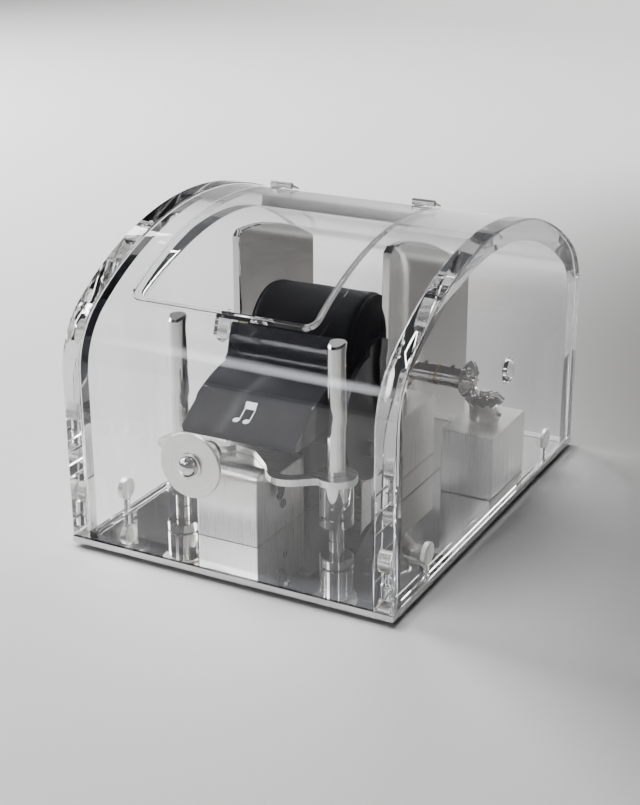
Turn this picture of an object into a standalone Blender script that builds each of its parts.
"""Wind-up music box under a clear arched case, modelled as an assembly of separate pieces.

Lengths below are in millimetres and become metres when a mesh is made. The origin is the centre of
the footprint on the surface the box stands on, the front is -Y and up is +Z.
"""
import math

import bmesh
import bpy
from mathutils import Matrix, Vector

MM = 0.001
GAP = 0.3                      # clearance kept between neighbouring pieces

# Case: two solid end panels, a bent shell between them and a bent lid in the shell's top front
CASE_WIDTH = 200.0
HALF_DEPTH = 133.4
PANEL_THICKNESS = 11.85
SPRING_HEIGHT = 102.9          # where the upright sides turn into the corner arcs
CORNER_RADIUS = 46.4
TOP_RADIUS = 197.5
SHELL_INSET = 1.0              # the shell's outer face lies this far inside the end panels' outline
WALL = 12.0
CORNER_Y = HALF_DEPTH - CORNER_RADIUS
TOP_CENTRE_Z = SPRING_HEIGHT - math.sqrt((TOP_RADIUS - CORNER_RADIUS) ** 2 - CORNER_Y ** 2)
PANEL_INNER = CASE_WIDTH / 2 - PANEL_THICKNESS
SHELL_RADIUS = TOP_RADIUS - SHELL_INSET

# Base
FOOT_HEIGHT = 1.7
FOOT_RADIUS = 8.0
FOOT_X = 80.0
FOOT_Y = 110.0
KEY_HOLE_RADIUS = 6.5
PLATE_BOTTOM = FOOT_HEIGHT + GAP
PLATE_TOP = 6.0
FLOOR = PLATE_TOP + GAP        # lowest point of everything that stands on the plate

# Lid
LID_CENTRE_X = -15.0
LID_HALF_WIDTH = 57.0
LID_FRONT_Y = -109.0
LID_REAR_Y = 40.0
LID_THICKNESS = 5.0
LID_LEDGE = 4.0
LID_CORNER = 8.0
LID_GAP = 0.4
HINGE_X = (-60.0, 34.0)
HINGE_LIFT = 2.3               # hinge axis above the shell's outer face
HINGE_RADIUS = 1.9
HINGE_HALF = 7.0
HINGE_LEAF_HALF = 2.2
HINGE_REACH = 9.0              # how far each leaf reaches from the hinge axis
HINGE_LEAF = 0.9               # thickness of a leaf
HINGE_PIN_RADIUS = 0.5
HINGE_BORE_RADIUS = 0.9

# End fasteners: a cross dowel in each end panel's foot, with a bolt from below
DOWEL_X = 93.0
DOWEL_Y = 88.0
DOWEL_Z = 20.8
DOWEL_RADIUS = 6.5
DOWEL_LENGTH = 8.0
BOLT_RADIUS = 2.5
BOLT_HEAD_RADIUS = 4.8
BOLT_HEAD = (PLATE_BOTTOM + 0.2, PLATE_BOTTOM + 1.7)

# Columns and bridge
COLUMN_X = (-67.0, 34.0)
COLUMN_Y = -64.0
COLUMN_RADIUS = 5.0
COLUMN_NECK = 4.3
COLUMN_TOP = 119.0
COLLAR_RADIUS = 9.7
COLLAR_RING = (15.4, 21.4)
COLLAR_CHAMFER = 0.6
BRIDGE_BOTTOM = 41.75
BRIDGE_TOP = 45.75
BRIDGE_WIDTH = 7.0
BOSS_RADIUS = (14.0, 12.0)

# Front housing and stop lever
HOUSING_X = (-38.0, 0.6)
HOUSING_Y = (-94.0, -40.0)
HOUSING_LIP_Y = -84.0          # the tall front part ends here, ahead of the bridge bar
HOUSING_TOP = 50.0
HOUSING_ROLL = 7.0             # radius of the rolled front edge
HOUSING_SCREW = (-66.0, 21.75)
LEVER_PIVOT = Vector((3.2, -71.0, 38.0))
LEVER_PIN_RADIUS = 1.4
LEVER_EYE_RADIUS = 3.2

# Drive train
APEX = Vector((67.0, 42.5, 69.25))   # where the two shafts' axes meet
SHAFT_RADIUS = 3.0
BORE_RADIUS = SHAFT_RADIUS + GAP
TEETH = 12
PITCH_RADIUS = 11.0
FACE_RATIO = 0.71
ADDENDUM = 1.3
DEDENDUM = 1.8
SHAFT_LEFT = -72.0
CHEEK_X = (-66.0, 32.5)
CHEEK_THICKNESS = 5.0
CHEEK_Y = (-8.0, 84.0)
CHEEK_RADIUS = TOP_RADIUS - 22.0
BUSH_RADIUS = 6.0
SHAFT_RIGHT = 61.0
BARREL_X = (-57.0, -47.0)
BARREL_RADIUS = 17.0
CYLINDER_X = (-44.5, 14.0)
CYLINDER_RADIUS = 12.0
SHAFT_COLLAR_X = (38.7, 40.8)
SHAFT_COLLAR_RADIUS = 6.4
GEAR_HUB_RADIUS = 6.2
GEAR_HUB_END_X = 41.2
GEAR_SCREW_X = 46.0
PINION_HUB_RADIUS = 9.0
PINION_SCREW_Z = 50.5
DRIVE_LOW = (51.0, 17.0, FLOOR)
DRIVE_HIGH = (83.0, 68.0, BRIDGE_TOP)
DRIVE_HEAD = (2.8, 5.6)        # the winding shaft's slotted head, below the plate's top
DRIVE_HEAD_RADIUS = 5.0
DRIVE_SHAFT_TOP = 64.5
SCREW_RADIUS = 1.2

# Comb
COMB_X = (-44.0, 12.0)
COMB_Z = (68.2, 69.6)
COMB_BACK_Y = 11.0
COMB_ROOT_Y = 21.0
COMB_TIP_Y = 30.0
COMB_TEETH = 20
COMB_SLOT = 0.5

# Control disc
DISC = Vector((-34.0, -106.5, 53.5))
DISC_RADIUS = 19.0
DISC_THICKNESS = 2.0
DISC_BORE = 2.3
ARBOR_RADIUS = 3.0
BRACKET_HALF = 7.0
BRACKET_THICKNESS = 2.5

# Movement cover and cushion
COVER_X = (-51.0, 21.0)
COVER_UNDERSIDE = 63.5         # the overhanging front's lower face
CUSHION_RIGHT = 27.0
CUSHION_Y = -3.0
CUSHION_Z = 98.0
CUSHION_RADIUS = 30.5
CUSHION_ROUND = 7.0            # radius of the rounded ends
FLANGE_RADIUS = 41.0
FLANGE_THICKNESS = 3.0
FLANGE_CENTRE = (-6.0, 62.0)
KNOB_CENTRE = (-20.0, 44.0)


def clear_scene():
    """Remove every object so that the file holds only this model."""
    for obj in list(bpy.data.objects):
        bpy.data.objects.remove(obj, do_unlink=True)


def make_material(name, color, metallic, roughness, transmission=0.0):
    """A Principled material with the piece's plain finish."""
    material = bpy.data.materials.new(name)
    material.use_nodes = True
    shader = material.node_tree.nodes["Principled BSDF"]
    shader.inputs["Base Color"].default_value = (*color, 1.0)
    shader.inputs["Metallic"].default_value = metallic
    shader.inputs["Roughness"].default_value = roughness
    shader.inputs["Transmission Weight"].default_value = transmission
    return material


def make_object(name, bm, look, pivot=(0.0, 0.0, 0.0)):
    """Turn a millimetre bmesh in world space into an object whose origin is the pivot."""
    pivot = Vector(pivot)
    bmesh.ops.recalc_face_normals(bm, faces=bm.faces)
    bm.transform(Matrix.Scale(MM, 4) @ Matrix.Translation(-pivot))
    mesh = bpy.data.meshes.new(name)
    bm.to_mesh(mesh)
    bm.free()
    mesh.materials.append(make_material(name, *look))
    mesh.shade_smooth()
    mesh.set_sharp_from_angle(angle=math.radians(32))
    obj = bpy.data.objects.new(name, mesh)
    obj.location = pivot * MM
    bpy.context.scene.collection.objects.link(obj)
    return obj


def make_cutter(name, bm):
    """A guide object that only shapes its neighbour."""
    obj = make_object(name, bm, CUTTER_LOOK)
    obj.hide_render = True
    obj.display_type = "WIRE"
    return obj


def shape_with(obj, cutter, operation="DIFFERENCE"):
    """Add an exact Boolean that cuts or joins the cutter."""
    modifier = obj.modifiers.new(cutter.name, "BOOLEAN")
    modifier.operation = operation
    modifier.solver = "EXACT"
    modifier.object = cutter


def block(low, high, bevel=0.0, segments=1):
    """A box from its lowest to its highest corner, with every edge bevelled."""
    bm = bmesh.new()
    low = Vector(low)
    high = Vector(high)
    size = high - low
    matrix = Matrix.Translation((low + high) / 2) @ Matrix.Diagonal((*size, 1.0))
    bmesh.ops.create_cube(bm, size=1.0, matrix=matrix)
    if bevel:
        bmesh.ops.bevel(bm, geom=bm.edges[:], offset=bevel, segments=segments, affect="EDGES")
    return bm


def axis_matrix(axis, centre):
    """Places a shape made round +Z so that its axis runs along +X, +Y or +Z through the centre."""
    turns = {
        "X": Matrix(((0, 0, 1, 0), (0, 1, 0, 0), (-1, 0, 0, 0), (0, 0, 0, 1))),
        "Y": Matrix(((1, 0, 0, 0), (0, 0, 1, 0), (0, -1, 0, 0), (0, 0, 0, 1))),
        "Z": Matrix.Identity(4),
    }
    return Matrix.Translation(Vector(centre)) @ turns[axis]


def turned(profile, axis="Z", centre=(0, 0, 0), steps=24, ring=False):
    """Spin a profile of (radius, height) points round an axis; a ring's profile closes on itself."""
    bm = bmesh.new()
    verts = [bm.verts.new((radius, 0.0, height)) for radius, height in profile]
    pairs = list(zip(verts, verts[1:]))
    if ring:
        pairs.append((verts[-1], verts[0]))
    edges = [bm.edges.new(pair) for pair in pairs]
    bmesh.ops.spin(bm, geom=verts + edges, cent=(0, 0, 0), axis=(0, 0, 1), angle=math.tau,
                   steps=steps, use_merge=True)
    bmesh.ops.remove_doubles(bm, verts=bm.verts[:], dist=1e-4)
    bm.transform(axis_matrix(axis, centre))
    return bm


def outer_wall(radius, low, high, chamfer):
    """The outer side of a turned piece, with its two edges chamfered or left square."""
    if not chamfer:
        return [(radius, low), (radius, high)]
    return [(radius - chamfer, low), (radius, low + chamfer),
            (radius, high - chamfer), (radius - chamfer, high)]


def rod(radius, low, high, axis="Z", centre=(0, 0, 0), steps=24, chamfer=0.0):
    """A solid cylinder from low to high along its axis."""
    profile = [(0, low)] + outer_wall(radius, low, high, chamfer) + [(0, high)]
    return turned(profile, axis, centre, steps)


def tube(inner, outer, low, high, axis="Z", centre=(0, 0, 0), steps=24, chamfer=0.0):
    """A ring from low to high along its axis."""
    profile = [(inner, low)] + outer_wall(outer, low, high, chamfer) + [(inner, high)]
    return turned(profile, axis, centre, steps, ring=True)


def prism(outline, axis, low, high, bevel=0.0):
    """Extrude a flat outline of (u, v) points along X (u, v = y, z), Y (x, z) or Z (x, y)."""
    bm = bmesh.new()
    place = {
        "X": lambda u, v: (low, u, v),
        "Y": lambda u, v: (u, low, v),
        "Z": lambda u, v: (u, v, low),
    }[axis]
    travel = {"X": (1, 0, 0), "Y": (0, 1, 0), "Z": (0, 0, 1)}[axis]
    face = bm.faces.new([bm.verts.new(place(u, v)) for u, v in outline])
    grown = bmesh.ops.extrude_face_region(bm, geom=[face])
    moved = [item for item in grown["geom"] if isinstance(item, bmesh.types.BMVert)]
    bmesh.ops.translate(bm, verts=moved, vec=Vector(travel) * (high - low))
    if bevel:
        caps = [item for item in bm.faces if len(item.verts) == len(outline)]
        rims = {edge for cap in caps for edge in cap.edges}
        bmesh.ops.bevel(bm, geom=list(rims), offset=bevel, segments=1, affect="EDGES")
    return bm


def arc(centre, radius, start, end, steps):
    """Points on an arc between two angles in degrees."""
    points = []
    for step in range(steps + 1):
        angle = math.radians(start + (end - start) * step / steps)
        points.append((centre[0] + radius * math.cos(angle), centre[1] + radius * math.sin(angle)))
    return points


def arch(inset, foot, corner_steps=8, top_steps=16):
    """The case's profile in (y, z), from the front foot over the top to the rear foot."""
    tangent = math.degrees(math.acos(CORNER_Y / (TOP_RADIUS - CORNER_RADIUS)))
    front = arc((-CORNER_Y, SPRING_HEIGHT), CORNER_RADIUS - inset, 180, 180 - tangent, corner_steps)
    top = arc((0, TOP_CENTRE_Z), TOP_RADIUS - inset, 180 - tangent, tangent, top_steps)
    rear = arc((CORNER_Y, SPRING_HEIGHT), CORNER_RADIUS - inset, tangent, 0, corner_steps)
    depth = HALF_DEPTH - inset
    return [(-depth, foot)] + front + top[1:-1] + rear + [(depth, foot)]


def bent_slab(low_x, high_x, front_y, rear_y, inner, outer, corner, steps=14):
    """A slab with rounded corners that follows the top arc, its edges square to the curve.

    It is made flat, with Y as the angle round the top arc in thousandths, cut into strips and bent.
    """
    front = math.asin(front_y / SHELL_RADIUS) * SHELL_RADIUS
    rear = math.asin(rear_y / SHELL_RADIUS) * SHELL_RADIUS
    outline = []
    for x, y, start in ((high_x, rear, 0), (low_x, rear, 90), (low_x, front, 180), (high_x, front, 270)):
        side_x = corner if start in (90, 180) else -corner
        side_y = corner if start >= 180 else -corner
        outline += arc((x + side_x, y + side_y), corner, start, start + 90, 5)
    bm = prism(outline, "Z", inner, outer)
    for step in range(1, steps):
        cut = Vector((0, front + (rear - front) * step / steps, 0))
        bmesh.ops.bisect_plane(bm, geom=bm.verts[:] + bm.edges[:] + bm.faces[:], plane_co=cut,
                               plane_no=(0, 1, 0))
    for vert in bm.verts:
        angle = vert.co.y / SHELL_RADIUS
        radius = vert.co.z
        vert.co.y = radius * math.sin(angle)
        vert.co.z = TOP_CENTRE_Z + radius * math.cos(angle)
    return bm


def smooth_line(points, steps=3):
    """A Catmull-Rom curve through hand-chosen points."""
    path = []
    ends = [points[0]] + points + [points[-1]]
    for index in range(1, len(ends) - 2):
        before, start, end, after = (Vector(ends[index + shift]) for shift in (-1, 0, 1, 2))
        for step in range(steps):
            t = step / steps
            path.append(0.5 * (2 * start + (end - before) * t
                               + (2 * before - 5 * start + 4 * end - after) * t ** 2
                               + (3 * start - before - 3 * end + after) * t ** 3))
    path.append(Vector(points[-1]))
    return path


def miter_gear(hub_radius, hub_end, to_world, phase):
    """A straight-toothed miter gear on its pitch cone; its axis is Z with the cone's apex at 0."""
    columns = []
    pitch = math.tau / TEETH
    for tooth in range(TEETH):
        centre = pitch * (tooth + phase)
        for offset, level in ((-0.36, -1), (-0.12, 1), (0.12, 1), (0.36, -1)):
            columns.append((centre + offset * pitch, level))
    rings = []
    for scale in (FACE_RATIO, 1.0):
        ring = []
        for angle, level in columns:
            height = (ADDENDUM if level > 0 else -DEDENDUM) * scale / math.sqrt(2)
            ring.append((PITCH_RADIUS * scale + height, angle, PITCH_RADIUS * scale - height))
        rings.append(ring)
    mouth = PITCH_RADIUS * FACE_RATIO - 0.6
    back = PITCH_RADIUS + 2.2
    plain = [(BORE_RADIUS, mouth), None, None, (PITCH_RADIUS - 1.6, back), (hub_radius, back + 0.6),
             (hub_radius, hub_end), (BORE_RADIUS, hub_end)]
    loops = []
    bm = bmesh.new()
    for index, circle in enumerate(plain):
        if circle:
            ring = [(circle[0], angle, circle[1]) for angle, level in columns]
        else:
            ring = rings[index - 1]
        loops.append([bm.verts.new((r * math.cos(a), r * math.sin(a), -t)) for r, a, t in ring])
    for low, high in zip(loops, loops[1:] + loops[:1]):
        for step in range(len(columns)):
            after = (step + 1) % len(columns)
            bm.faces.new((low[step], low[after], high[after], high[step]))
    bm.transform(Matrix.Translation(APEX) @ to_world)
    return bm


# Plain finishes: colour, metallic, roughness, transmission
CUTTER_LOOK = ((0.5, 0.5, 0.5), 0.0, 0.5)
ACRYLIC = ((0.96, 0.98, 0.99), 0.0, 0.02, 1.0)
POLISHED = ((0.80, 0.79, 0.77), 1.0, 0.06)
BRUSHED = ((0.72, 0.71, 0.69), 1.0, 0.28)
DARK_STEEL = ((0.20, 0.20, 0.21), 1.0, 0.30)
BLACK_GLOSS = ((0.015, 0.015, 0.018), 0.0, 0.08)
VELVET = ((0.008, 0.008, 0.009), 0.0, 0.95)
BRASS = ((0.76, 0.58, 0.28), 1.0, 0.22)
RUBBER = ((0.03, 0.03, 0.03), 0.0, 0.7)


def make_base():
    """Polished plate on four low pads, with its bolt holes and the winding hole."""
    plate = make_object("base_plate", block((-CASE_WIDTH / 2, -HALF_DEPTH, PLATE_BOTTOM),
                                            (CASE_WIDTH / 2, HALF_DEPTH, PLATE_TOP), 0.3), POLISHED)
    holes = [("key", APEX.x, APEX.y, KEY_HOLE_RADIUS)]
    for index, (side, end) in enumerate(corner_signs()):
        holes.append((f"bolt_{index + 1}", side * DOWEL_X, end * DOWEL_Y, BOLT_RADIUS + GAP))
        head = rod(BOLT_HEAD_RADIUS + 0.4, 0, BOLT_HEAD[1] + GAP, centre=(side * DOWEL_X, end * DOWEL_Y, 0),
                   steps=12)
        shape_with(plate, make_cutter(f"cut_head_{index + 1}", head))
    for label, x, y, radius in holes:
        hole = rod(radius, 0, PLATE_TOP + 2, centre=(x, y, 0), steps=12)
        shape_with(plate, make_cutter(f"cut_base_{label}", hole))
    for index, (side, end) in enumerate(corner_signs()):
        foot = rod(FOOT_RADIUS, 0, FOOT_HEIGHT, centre=(side * FOOT_X, end * FOOT_Y, 0), steps=20)
        make_object(f"foot_{index + 1}", foot, RUBBER)


def corner_signs():
    """The four corners, in the order their pieces are numbered."""
    return [(-1, -1), (1, -1), (1, 1), (-1, 1)]


def make_end_panels():
    """Solid arched end panels with a cross dowel and bolt in each foot."""
    for name, side in (("left", -1), ("right", 1)):
        low, high = sorted((side * PANEL_INNER, side * CASE_WIDTH / 2))
        panel = make_object(f"end_panel_{name}", prism(arch(0, FLOOR), "X", low, high, 0.9), ACRYLIC)
        for index, (corner, end) in enumerate(corner_signs()):
            if corner != side:
                continue
            inner = side * (PANEL_INNER - 2)
            outer = side * (DOWEL_X + DOWEL_LENGTH / 2 + GAP)
            pocket = rod(DOWEL_RADIUS + GAP, *sorted((inner, outer)), "X",
                         (0, end * DOWEL_Y, DOWEL_Z), 20)
            shape_with(panel, make_cutter(f"cut_dowel_{index + 1}", pocket))
            shaft = rod(BOLT_RADIUS + GAP, 0, DOWEL_Z, centre=(side * DOWEL_X, end * DOWEL_Y, 0),
                        steps=12)
            shape_with(panel, make_cutter(f"cut_shank_{index + 1}", shaft))


def make_case_fasteners():
    """Four cross dowels, each with its countersunk bolt from under the plate."""
    for index, (side, end) in enumerate(corner_signs()):
        low, high = sorted((side * (DOWEL_X - DOWEL_LENGTH / 2), side * (DOWEL_X + DOWEL_LENGTH / 2)))
        centre = (0, end * DOWEL_Y, DOWEL_Z)
        make_object(f"dowel_nut_{index + 1}", rod(DOWEL_RADIUS, low, high, "X", centre, 24, 0.4), BRUSHED)
        top = DOWEL_Z - DOWEL_RADIUS - GAP
        profile = [(0, BOLT_HEAD[0]), (BOLT_HEAD_RADIUS, BOLT_HEAD[0]), (BOLT_HEAD_RADIUS, BOLT_HEAD[1]),
                   (BOLT_RADIUS, BOLT_HEAD[1]), (BOLT_RADIUS, top), (0, top)]
        bolt = turned(profile, "Z", (side * DOWEL_X, end * DOWEL_Y, 0), 12)
        make_object(f"case_bolt_{index + 1}", bolt, BRUSHED)


def make_shell():
    """The bent wall between the end panels, with a stepped opening for the lid."""
    half = PANEL_INNER - GAP
    outline = arch(SHELL_INSET, FLOOR) + arch(SHELL_INSET + WALL, FLOOR)[::-1]
    shell = make_object("case_shell", prism(outline, "X", -half, half), ACRYLIC)
    low = LID_CENTRE_X - LID_HALF_WIDTH
    high = LID_CENTRE_X + LID_HALF_WIDTH
    recess = bent_slab(low, high, LID_FRONT_Y, LID_REAR_Y, SHELL_RADIUS - LID_THICKNESS - LID_GAP,
                       SHELL_RADIUS + 8, LID_CORNER)
    shape_with(shell, make_cutter("cut_recess", recess))
    mouth = bent_slab(low + LID_LEDGE, high - LID_LEDGE, LID_FRONT_Y + LID_LEDGE,
                      LID_REAR_Y - LID_LEDGE, SHELL_RADIUS - WALL - 6, SHELL_RADIUS + 4,
                      LID_CORNER - LID_LEDGE + 1)
    shape_with(shell, make_cutter("cut_mouth", mouth))


def hinge_point():
    """The lid hinge's axis, just above the outer face at the opening's rear edge."""
    angle = math.asin(LID_REAR_Y / SHELL_RADIUS)
    radius = SHELL_RADIUS + HINGE_LIFT
    return Vector((0, radius * math.sin(angle), TOP_CENTRE_Z + radius * math.cos(angle))), angle


def hinge_plate(half, reach, knuckle):
    """A leaf in the hinge's own frame: a flat plate joined to a knuckle by its outline."""
    outline = arc((0, 0), HINGE_RADIUS, *knuckle, 10)
    low = GAP - HINGE_LIFT
    tip = [(reach, low), (reach, low + HINGE_LEAF)]
    outline += tip[::-1] if reach > 0 else tip
    return prism(outline, "X", -half, half)


def make_lid():
    """The bent lid with its two small hinges."""
    low = LID_CENTRE_X - LID_HALF_WIDTH + LID_GAP
    high = LID_CENTRE_X + LID_HALF_WIDTH - LID_GAP
    pivot, angle = hinge_point()
    lid = bent_slab(low, high, LID_FRONT_Y + LID_GAP, LID_REAR_Y - LID_GAP,
                    SHELL_RADIUS - LID_THICKNESS, SHELL_RADIUS, LID_CORNER)
    make_object("lid_panel", lid, ACRYLIC, pivot)
    tilt = Matrix.Translation(pivot) @ Matrix.Rotation(-angle, 4, "X")
    for name, x in zip(("left", "right"), HINGE_X):
        centre = Matrix.Translation((x, 0, 0)) @ tilt
        leaf = hinge_plate(HINGE_LEAF_HALF, -HINGE_REACH, (200, -20))
        leaf.transform(centre)
        leaf_object = make_object(f"hinge_leaf_{name}", leaf, BRUSHED, pivot + Vector((x, 0, 0)))
        base = hinge_plate(HINGE_HALF, HINGE_REACH, (-20, -340))
        base.transform(centre)
        base_object = make_object(f"hinge_base_{name}", base, BRUSHED)
        notch_half = HINGE_LEAF_HALF + GAP
        notch = block((-notch_half, -4, -3), (notch_half, HINGE_RADIUS + 2 * GAP, 4))
        notch.transform(centre)
        shape_with(base_object, make_cutter(f"cut_notch_{name}", notch))
        for target, label in ((leaf_object, "leaf"), (base_object, "base")):
            bore = rod(HINGE_BORE_RADIUS, -HINGE_REACH, HINGE_REACH, "X", (0, 0, 0), 8)
            bore.transform(centre)
            shape_with(target, make_cutter(f"cut_{label}_{name}", bore))
        pin = rod(HINGE_PIN_RADIUS, -HINGE_HALF, HINGE_HALF, "X", (0, 0, 0), 8)
        pin.transform(centre)
        make_object(f"hinge_pin_{name}", pin, POLISHED)


def make_columns():
    """Two columns with their collars and the wavy bridge they carry."""
    neck_top = BRIDGE_TOP + GAP
    for name, x in zip(("left", "right"), COLUMN_X):
        centre = (x, COLUMN_Y, 0)
        profile = [(0, FLOOR), (COLUMN_NECK, FLOOR), (COLUMN_NECK, neck_top), (COLUMN_RADIUS, neck_top),
                   (COLUMN_RADIUS, COLUMN_TOP - 0.5), (COLUMN_RADIUS - 0.5, COLUMN_TOP), (0, COLUMN_TOP)]
        make_object(f"column_{name}", turned(profile, "Z", centre, 24), POLISHED)
        bore = COLUMN_NECK + GAP
        ring = tube(bore, COLLAR_RADIUS, *COLLAR_RING, centre=centre, chamfer=COLLAR_CHAMFER)
        make_object(f"collar_ring_{name}", ring, POLISHED)
        collar = tube(bore, COLLAR_RADIUS, COLLAR_RING[1] + 0.5, BRIDGE_BOTTOM - GAP, centre=centre,
                      chamfer=COLLAR_CHAMFER)
        make_object(f"collar_{name}", collar, POLISHED)


def bridge_outline():
    """The bar's outline in plan: a wavy band that runs into a round boss at each end."""
    line = [(-67, -64), (-54, -55), (-44, -57), (-37, -51), (-27, -52), (-20, -54), (-11, -62),
            (-3, -70), (4, -80), (12, -80.5), (19, -76), (25, -71), (34, -64)]
    path = smooth_line(line)
    sides = ([], [])
    for before, point, after in zip(path, path[1:], path[2:]):
        across = Vector((before.y - after.y, after.x - before.x)).normalized() * BRIDGE_WIDTH / 2
        for side, edge in zip(sides, (point + across, point - across)):
            bosses = zip(COLUMN_X, BOSS_RADIUS)
            if all((edge - Vector((x, COLUMN_Y))).length > radius + 0.5 for x, radius in bosses):
                side.append(tuple(edge))
    rear, front = sides
    outline = list(rear)
    for index, start, end in ((1, rear[-1], front[-1]), (0, front[0], rear[0])):
        centre = (COLUMN_X[index], COLUMN_Y)
        angles = [math.degrees(math.atan2(y - centre[1], x - centre[0])) for x, y in (start, end)]
        if angles[1] > angles[0]:
            angles[1] -= 360
        outline += arc(centre, BOSS_RADIUS[index], angles[0] - 6, angles[1] + 6, 18)
        if index == 1:
            outline += front[::-1]
    return outline


def make_bridge():
    """A flat wavy bar with a round boss on each column."""
    bar = make_object("bridge_bar", prism(bridge_outline(), "Z", BRIDGE_BOTTOM, BRIDGE_TOP), BRUSHED)
    for name, x in zip(("left", "right"), COLUMN_X):
        hole = rod(COLUMN_NECK + GAP, BRIDGE_BOTTOM - 2, BRIDGE_TOP + 2, centre=(x, COLUMN_Y, 0))
        shape_with(bar, make_cutter(f"cut_hole_{name}", hole))


def make_front_housing():
    """The brushed front block with a rolled top edge, its screw, and the small stop lever."""
    step = BRIDGE_BOTTOM - 0.35
    outline = [(HOUSING_Y[1], FLOOR), (HOUSING_Y[1], step), (HOUSING_LIP_Y, step),
               (HOUSING_LIP_Y, HOUSING_TOP)]
    roll_centre = (HOUSING_Y[0] + HOUSING_ROLL, HOUSING_TOP - HOUSING_ROLL)
    outline += arc(roll_centre, HOUSING_ROLL, 90, 180, 8)
    outline.append((HOUSING_Y[0], FLOOR))
    make_object("front_housing", prism(outline, "X", *HOUSING_X, 0.5), BRUSHED)
    screw = turned([(0, 0.3), (2.8, 0.3), (2.8, 1.0), (2.3, 1.5), (0, 1.5)], "X",
                   (HOUSING_X[1], *HOUSING_SCREW), 20)
    screw_object = make_object("housing_screw", screw, DARK_STEEL)
    screw_y, screw_z = HOUSING_SCREW
    slot = block((HOUSING_X[1] + 0.9, screw_y - 0.4, screw_z - 3.5),
                 (HOUSING_X[1] + 3, screw_y + 0.4, screw_z + 3.5))
    shape_with(screw_object, make_cutter("cut_screw_slot", slot))
    profile = [(0, GAP), (LEVER_PIN_RADIUS, GAP), (LEVER_PIN_RADIUS, 4.6), (2.6, 4.6), (2.6, 5.8),
               (2.0, 6.6), (0, 6.8)]
    pin = turned(profile, "X", (HOUSING_X[1], LEVER_PIVOT.y, LEVER_PIVOT.z), 20)
    make_object("lever_pin", pin, POLISHED)
    outline = arc((LEVER_PIVOT.y, LEVER_PIVOT.z), LEVER_EYE_RADIUS, -20, 200, 10)
    outline += [(LEVER_PIVOT.y - 2.4, 31.5), (LEVER_PIVOT.y - 4.4, 30.0), (LEVER_PIVOT.y - 3.4, 27.5),
                (LEVER_PIVOT.y - 0.6, 28.5), (LEVER_PIVOT.y + 1.2, 31.0)]
    lever = make_object("stop_lever", prism(outline, "X", 1.9, 4.4, 0.2), DARK_STEEL, LEVER_PIVOT)
    bore = rod(LEVER_PIN_RADIUS + GAP, 0, 8, "X", (0, LEVER_PIVOT.y, LEVER_PIVOT.z), 20)
    shape_with(lever, make_cutter("cut_lever", bore))


def make_disc():
    """The thin control disc on its arbor, in front of the bridge."""
    x, y, z = DISC
    spin = "Y"
    disc = tube(DISC_BORE, DISC_RADIUS, y, y + DISC_THICKNESS, spin, (x, 0, z), 48, 0.3)
    make_object("control_disc", disc, BRUSHED, (x, y, z))
    washer = tube(DISC_BORE, 7.5, y - 1.5, y - GAP, spin, (x, 0, z), 32)
    make_object("disc_washer", washer, POLISHED, (x, y, z))
    face = y - 1.5 - GAP
    dome = [(0, face - 4.6), (2.4, face - 4.3), (4.5, face - 3.2), (5.8, face - 1.4), (6, face),
            (2, face), (2, y + 4), (0, y + 4)]
    make_object("disc_screw", turned(dome, spin, (x, 0, z), 24), POLISHED, (x, y, z))
    bracket_rear = HOUSING_LIP_Y - 0.5
    bracket_front = bracket_rear - BRACKET_THICKNESS
    sleeve = tube(DISC_BORE, ARBOR_RADIUS, y + DISC_THICKNESS + GAP, bracket_front - GAP, spin, (x, 0, z), 20)
    make_object("disc_arbor", sleeve, BRUSHED)
    foot = HOUSING_TOP + GAP
    outline = [(x - BRACKET_HALF, foot), (x + BRACKET_HALF, foot)] + arc((x, z), BRACKET_HALF, 0, 180, 10)
    bracket = prism(outline, "Y", bracket_front, bracket_rear)
    make_object("arbor_bracket", bracket, BRUSHED)


def make_cover():
    """The gloss cover with its sloping front and a round seat for the velvet cushion."""
    seat = arc((CUSHION_Y, CUSHION_Z), CUSHION_RADIUS + GAP, 160, 286, 16)
    face = arc((-16, -24.5), 117, 128, 102, 6)
    lip = arc((-46.0, 99.5), 9.5, -60, -5, 3)
    lip += [(seat[0][0] - 2.6, seat[0][1] - 1.5), (seat[0][0] - 1.2, seat[0][1])]
    outline = [(-86.5, COVER_UNDERSIDE)] + face + lip + seat
    outline += [(6, seat[-1][1]), (6, 49.5), (-38, 49.5), (-38, COVER_UNDERSIDE)]
    make_object("movement_cover", prism(outline, "X", *COVER_X, 0.6), BLACK_GLOSS)
    left_round = (CUSHION_RADIUS - CUSHION_ROUND, COVER_X[0] + 7 + CUSHION_ROUND)
    right_round = (CUSHION_RADIUS - CUSHION_ROUND, CUSHION_RIGHT - CUSHION_ROUND)
    profile = [(0, COVER_X[0] + 7)] + arc(left_round, CUSHION_ROUND, -90, 0, 2)
    profile += arc(right_round, CUSHION_ROUND, 0, 90, 2) + [(0, CUSHION_RIGHT)]
    make_object("cushion", turned(profile, "X", (0, CUSHION_Y, CUSHION_Z), 28), VELVET)
    flange_low = CUSHION_RIGHT + 0.5
    flange = rod(FLANGE_RADIUS, flange_low, flange_low + FLANGE_THICKNESS, "X", (0, *FLANGE_CENTRE), 40)
    make_object("end_flange", flange, DARK_STEEL)
    knob = turned([(0, 0.3), (5, 0.3), (5, 3.6), (4.2, 4.4), (0, 4.4)], "X",
                  (flange_low + FLANGE_THICKNESS, *KNOB_CENTRE), 24)
    make_object("flange_knob", knob, DARK_STEEL)
    make_object("pedestal", block((-45, -38, FLOOR), (3, 5, 49.2), 0.6), DARK_STEEL)


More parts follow.
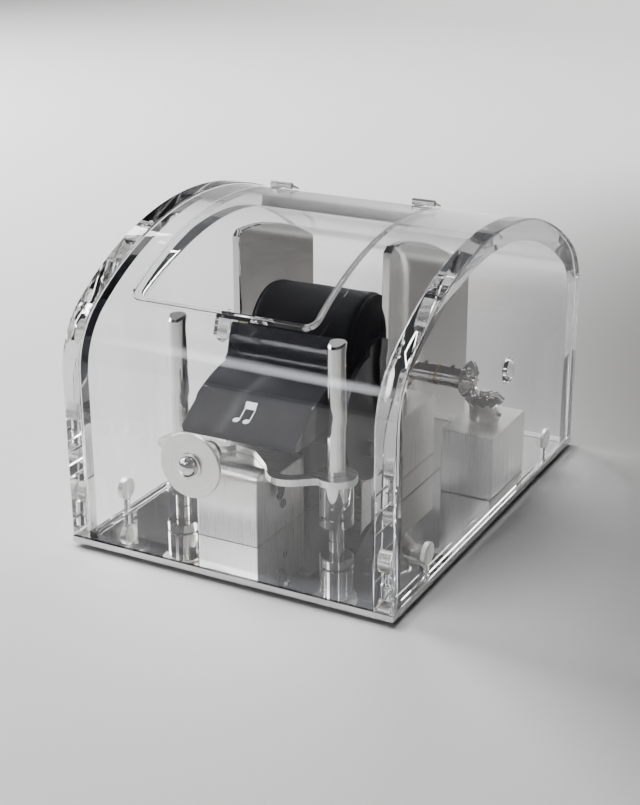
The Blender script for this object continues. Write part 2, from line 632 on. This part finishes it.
def make_cheeks():
    """Two polished cheeks, their tops curved like the case, that carry the cross shaft in bushes."""
    for name, x in zip(("left", "right"), CHEEK_X):
        start, end = (math.degrees(math.acos(y / CHEEK_RADIUS)) for y in (CHEEK_Y[0] + 4, CHEEK_Y[1]))
        top = arc((0, TOP_CENTRE_Z), CHEEK_RADIUS, start, end, 12)
        outline = [(CHEEK_Y[0], FLOOR), (CHEEK_Y[0], top[0][1] - 3)] + top + [(CHEEK_Y[1], FLOOR)]
        cheek = make_object(f"cheek_{name}", prism(outline, "X", x, x + CHEEK_THICKNESS, 0.5), POLISHED)
        hole = rod(BUSH_RADIUS + GAP, x - 2, x + CHEEK_THICKNESS + 2, "X", (0, APEX.y, APEX.z), 24)
        shape_with(cheek, make_cutter(f"cut_cheek_{name}", hole))
        bush = tube(BORE_RADIUS, BUSH_RADIUS, x - 0.8, x + CHEEK_THICKNESS + 0.8, "X",
                    (0, APEX.y, APEX.z), 20)
        make_object(f"shaft_bush_{name}", bush, BRASS)


def make_cross_shaft():
    """The level shaft with its barrel, pinned cylinder, collar and miter gear."""
    line = (0, APEX.y, APEX.z)
    pivot = (APEX.x, APEX.y, APEX.z)
    make_object("cross_shaft", rod(SHAFT_RADIUS, SHAFT_LEFT, SHAFT_RIGHT, "X", line, 20), POLISHED, pivot)
    make_object("spring_barrel", tube(BORE_RADIUS, BARREL_RADIUS, *BARREL_X, "X", line, 28), BRASS, pivot)
    cylinder = tube(BORE_RADIUS, CYLINDER_RADIUS, *CYLINDER_X, "X", line, 28)
    make_object("pin_cylinder", cylinder, BRASS, pivot)
    collar = tube(BORE_RADIUS, SHAFT_COLLAR_RADIUS, *SHAFT_COLLAR_X, "X", line, 20)
    make_object("shaft_collar", collar, POLISHED, pivot)
    turn = Matrix(((0, 0, 1, 0), (0, 1, 0, 0), (-1, 0, 0, 0), (0, 0, 0, 1)))
    gear = miter_gear(GEAR_HUB_RADIUS, APEX.x - GEAR_HUB_END_X, turn, 0.5)
    make_object("miter_gear", gear, POLISHED, pivot)
    screw = rod(SCREW_RADIUS, GEAR_HUB_RADIUS + GAP, GEAR_HUB_RADIUS + 1.4, "Z",
                (GEAR_SCREW_X, APEX.y, APEX.z), 12)
    make_object("gear_set_screw", screw, DARK_STEEL, pivot)


def make_comb():
    """The tuned comb on its block, its teeth just short of the cylinder."""
    block_low = (COMB_X[0] - 1, COMB_BACK_Y - 2, FLOOR)
    block_high = (COMB_X[1] + 1, COMB_ROOT_Y + 2, COMB_Z[0] - GAP)
    make_object("comb_block", block(block_low, block_high, 0.5), BRUSHED)
    pitch = (COMB_X[1] - COMB_X[0]) / COMB_TEETH
    outline = [(COMB_X[0], COMB_BACK_Y), (COMB_X[1], COMB_BACK_Y)]
    for tooth in reversed(range(COMB_TEETH)):
        left = COMB_X[0] + tooth * pitch + COMB_SLOT / 2
        right = left + pitch - COMB_SLOT
        outline += [(right, COMB_ROOT_Y), (right, COMB_TIP_Y), (left, COMB_TIP_Y), (left, COMB_ROOT_Y)]
    make_object("comb", prism(outline, "Z", *COMB_Z), POLISHED)


def make_drive():
    """The brushed block with the upright winding shaft and its pinion."""
    body = make_object("gear_block", block(DRIVE_LOW, DRIVE_HIGH, 0.6), BRUSHED)
    bore = rod(SHAFT_RADIUS + 0.5, 0, 60, centre=(APEX.x, APEX.y, 0))
    shape_with(body, make_cutter("cut_block", bore))
    profile = [(0, DRIVE_HEAD[0]), (DRIVE_HEAD_RADIUS, DRIVE_HEAD[0]), (DRIVE_HEAD_RADIUS, DRIVE_HEAD[1]),
               (SHAFT_RADIUS, DRIVE_HEAD[1]), (SHAFT_RADIUS, DRIVE_SHAFT_TOP - 0.4),
               (SHAFT_RADIUS - 0.4, DRIVE_SHAFT_TOP), (0, DRIVE_SHAFT_TOP)]
    shaft = make_object("drive_shaft", turned(profile, "Z", (APEX.x, APEX.y, 0)), POLISHED,
                        (APEX.x, APEX.y, 0))
    slot = block((APEX.x - 0.7, APEX.y - 3.5, 1.0), (APEX.x + 0.7, APEX.y + 3.5, 4.6))
    shape_with(shaft, make_cutter("cut_key_slot", slot))
    pinion = miter_gear(PINION_HUB_RADIUS, APEX.z - BRIDGE_TOP - 1.0, Matrix.Identity(4), 0.0)
    make_object("drive_pinion", pinion, POLISHED, (APEX.x, APEX.y, 0))
    screw = rod(SCREW_RADIUS, PINION_HUB_RADIUS + GAP, PINION_HUB_RADIUS + 1.3, "X",
                (APEX.x, APEX.y, PINION_SCREW_Z), 12)
    make_object("pinion_set_screw", screw, DARK_STEEL, (APEX.x, APEX.y, 0))


def main():
    clear_scene()
    make_base()
    make_end_panels()
    make_case_fasteners()
    make_shell()
    make_lid()
    make_columns()
    make_bridge()
    make_front_housing()
    make_disc()
    make_cover()
    make_cheeks()
    make_cross_shaft()
    make_comb()
    make_drive()


main()
